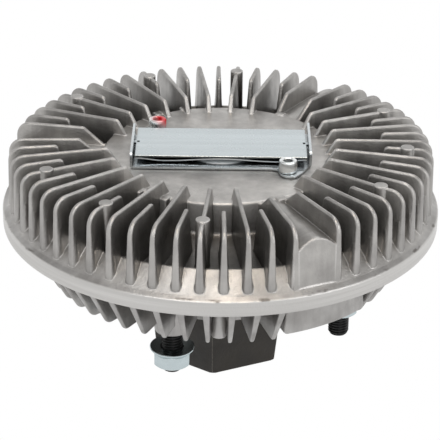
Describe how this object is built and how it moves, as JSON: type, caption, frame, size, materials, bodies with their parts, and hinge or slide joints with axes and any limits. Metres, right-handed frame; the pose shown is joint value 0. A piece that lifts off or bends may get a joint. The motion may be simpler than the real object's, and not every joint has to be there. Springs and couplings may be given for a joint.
{
  "type": "viscous fan clutch",
  "caption": "Finned viscous fan clutch with a bimetal control strip on its face, fan studs behind its rim and a hexagonal input hub.",
  "frame": {"origin": "on the shaft axis at the foot of the hexagonal hub, where the clutch stands", "axes": "+Z along the shaft axis from the hub towards the finned front cover; +X along the bimetal strip; -Y towards the lower bracket screw"},
  "size_m": [0.2238, 0.2238, 0.1185],
  "materials": {
    "cover_casting": "as-cast aluminium, satin",
    "body_casting": "as-cast aluminium, machined rim",
    "plate_casting": "machined aluminium",
    "seal_rubber": "black rubber",
    "spring_steel": "spring steel",
    "hub_steel": "dark phosphated steel",
    "bearing_steel": "ground bearing steel",
    "ball_steel": "polished steel",
    "cage_steel": "pressed steel",
    "shield_steel": "pressed steel",
    "sheet_steel": "plain steel sheet",
    "pin_steel": "ground steel",
    "bracket_zinc": "bright zinc plate",
    "screw_zinc": "bright zinc plate",
    "strip_metal": "bright rolled bimetal",
    "leaf_metal": "rolled spring steel",
    "stud_black": "black oxide",
    "nut_zinc": "blue-white zinc plate"
  },
  "bodies": {
    "input_hub": {"input_hub": "hub_steel", "bearing_inner_ring": "bearing_steel", "clutch_plate": "plate_casting", "plate_lock_ring": "spring_steel"},
    "housing": {"front_cover": "cover_casting", "rear_body": "body_casting", "rim_seal_ring": "seal_rubber", "bearing_outer_ring": "bearing_steel", "bearing_shield_lower": "shield_steel", "bearing_shield_upper": "shield_steel", "bearing_snap_ring": "spring_steel", "separator_plate": "sheet_steel", "separator_screw_1": "sheet_steel", "separator_screw_2": "sheet_steel", "separator_screw_3": "sheet_steel", "valve_arm_rivet": "sheet_steel", "pin_seal_ring": "seal_rubber", "strip_bracket": "bracket_zinc", "bracket_screw_front": "screw_zinc", "bracket_screw_rear": "screw_zinc", "bimetal_strip": "strip_metal", "backing_leaf": "leaf_metal", "fan_stud_1": "stud_black", "fan_stud_2": "stud_black", "fan_stud_3": "stud_black", "fan_stud_4": "stud_black", "fan_nut_1": "nut_zinc", "fan_nut_2": "nut_zinc", "fan_nut_3": "nut_zinc", "fan_nut_4": "nut_zinc"},
    "ball_set": {"bearing_cage": "cage_steel", "bearing_ball_1": "ball_steel", "bearing_ball_2": "ball_steel", "bearing_ball_3": "ball_steel", "bearing_ball_4": "ball_steel", "bearing_ball_5": "ball_steel", "bearing_ball_6": "ball_steel", "bearing_ball_7": "ball_steel", "bearing_ball_8": "ball_steel", "bearing_ball_9": "ball_steel"},
    "valve_pin": {"valve_pin": "pin_steel"},
    "valve_arm": {"valve_arm": "spring_steel"}
  },
  "joints": [
    {"name": "housing_spin", "type": "hinge", "parent": "input_hub", "child": "housing", "pos_m": [0, 0, 0], "axis": [0, 0, 1], "continuous": true},
    {"name": "ball_set_spin", "type": "hinge", "parent": "input_hub", "child": "ball_set", "pos_m": [0, 0, 0], "axis": [0, 0, 1], "continuous": true},
    {"name": "valve_pin_lift", "type": "slide", "parent": "housing", "child": "valve_pin", "axis": [0, 0, 1], "range_m": [0, 0.0012], "deforming": ["bimetal_strip", "backing_leaf"]},
    {"name": "valve_arm_lift", "type": "hinge", "parent": "housing", "child": "valve_arm", "pos_m": [-0.03, 0, 0.0921], "axis": [0, -1, 0], "range_deg": [0, 2.3]}
  ],
  "couplings": [
    {"joint": "ball_set_spin", "follows": "housing_spin", "ratio": 0.6028},
    {"joint": "valve_arm_lift", "follows": "valve_pin_lift", "rad_per_m": 33.33}
  ]
}
